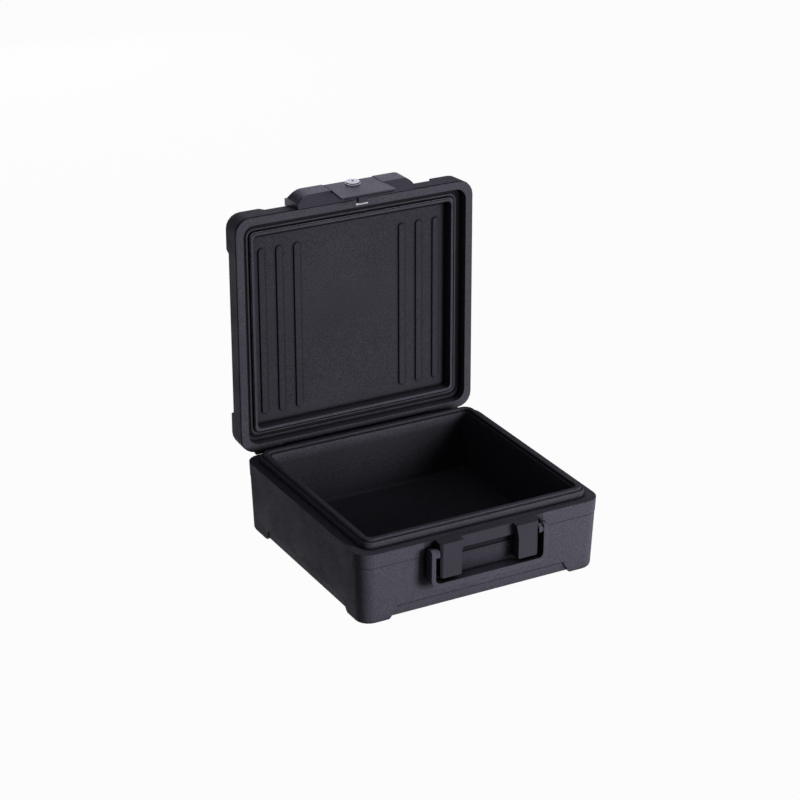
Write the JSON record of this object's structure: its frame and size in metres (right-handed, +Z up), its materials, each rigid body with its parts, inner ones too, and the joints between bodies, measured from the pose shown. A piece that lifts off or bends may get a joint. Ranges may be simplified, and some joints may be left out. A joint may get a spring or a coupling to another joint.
{
  "type": "portable safe box",
  "caption": "Open portable safe: a double-walled tub with a raised rim and moulded feet, a rear-hinged ribbed lid, a key latch and a bail handle.",
  "frame": {"origin": "below the middle of the open box, in the plane of its four feet", "axes": "+X to the right as seen from the handle, +Y to the hinge and lid, +Z up"},
  "size_m": [0.34, 0.376, 0.4367],
  "materials": {
    "shell_plastic": "charcoal, fine moulded grain",
    "liner_plastic": "charcoal, fine moulded grain, a little darker",
    "trim_plastic": "charcoal, satin with a fine grain",
    "handle_plastic": "charcoal, satin",
    "seal_rubber": "dull black",
    "insulation": "porous fill, hidden",
    "lock_chrome": "polished",
    "steel": "plain bright",
    "dark_steel": "blackened"
  },
  "bodies": {
    "base": {"base_shell": "shell_plastic", "base_liner": "liner_plastic", "base_fill": "insulation", "handle_bracket": "trim_plastic", "bracket_screw_left": "dark_steel", "bracket_screw_right": "dark_steel", "handle_pin_left": "dark_steel", "handle_pin_right": "dark_steel", "hinge_pin": "steel"},
    "handle": {"handle": "handle_plastic"},
    "lid": {"lid_shell": "shell_plastic", "lid_liner": "liner_plastic", "lid_fill": "insulation", "lid_gasket": "seal_rubber", "latch_housing": "trim_plastic", "housing_screw_left": "steel", "housing_screw_right": "steel", "latch_pin": "steel"},
    "latch": {"latch_plate": "trim_plastic", "latch_hook": "steel", "lock_barrel": "lock_chrome", "lock_nut": "steel"},
    "key_plug": {"lock_plug": "lock_chrome", "lock_cam": "steel", "cam_screw": "steel"}
  },
  "joints": [
    {"name": "lid_hinge", "type": "hinge", "parent": "base", "child": "lid", "pos_m": [0, 0.1485, 0.09485], "axis": [1, 0, 0], "range_deg": [0, 90.6]},
    {"name": "handle_pivot", "type": "hinge", "parent": "base", "child": "handle", "pos_m": [0, -0.18025, 0.0821], "axis": [-1, 0, 0], "range_deg": [0, 90]},
    {"name": "latch_pivot", "type": "hinge", "parent": "lid", "child": "latch", "pos_m": [0, 0.17785, 0.42941], "axis": [-1, 0, 0], "range_deg": [0, 20]},
    {"name": "key_turn", "type": "hinge", "parent": "latch", "child": "key_plug", "pos_m": [0, 0.16555, 0.42924], "axis": [0, 0.0105, 0.9999], "range_deg": [0, 90]}
  ]
}
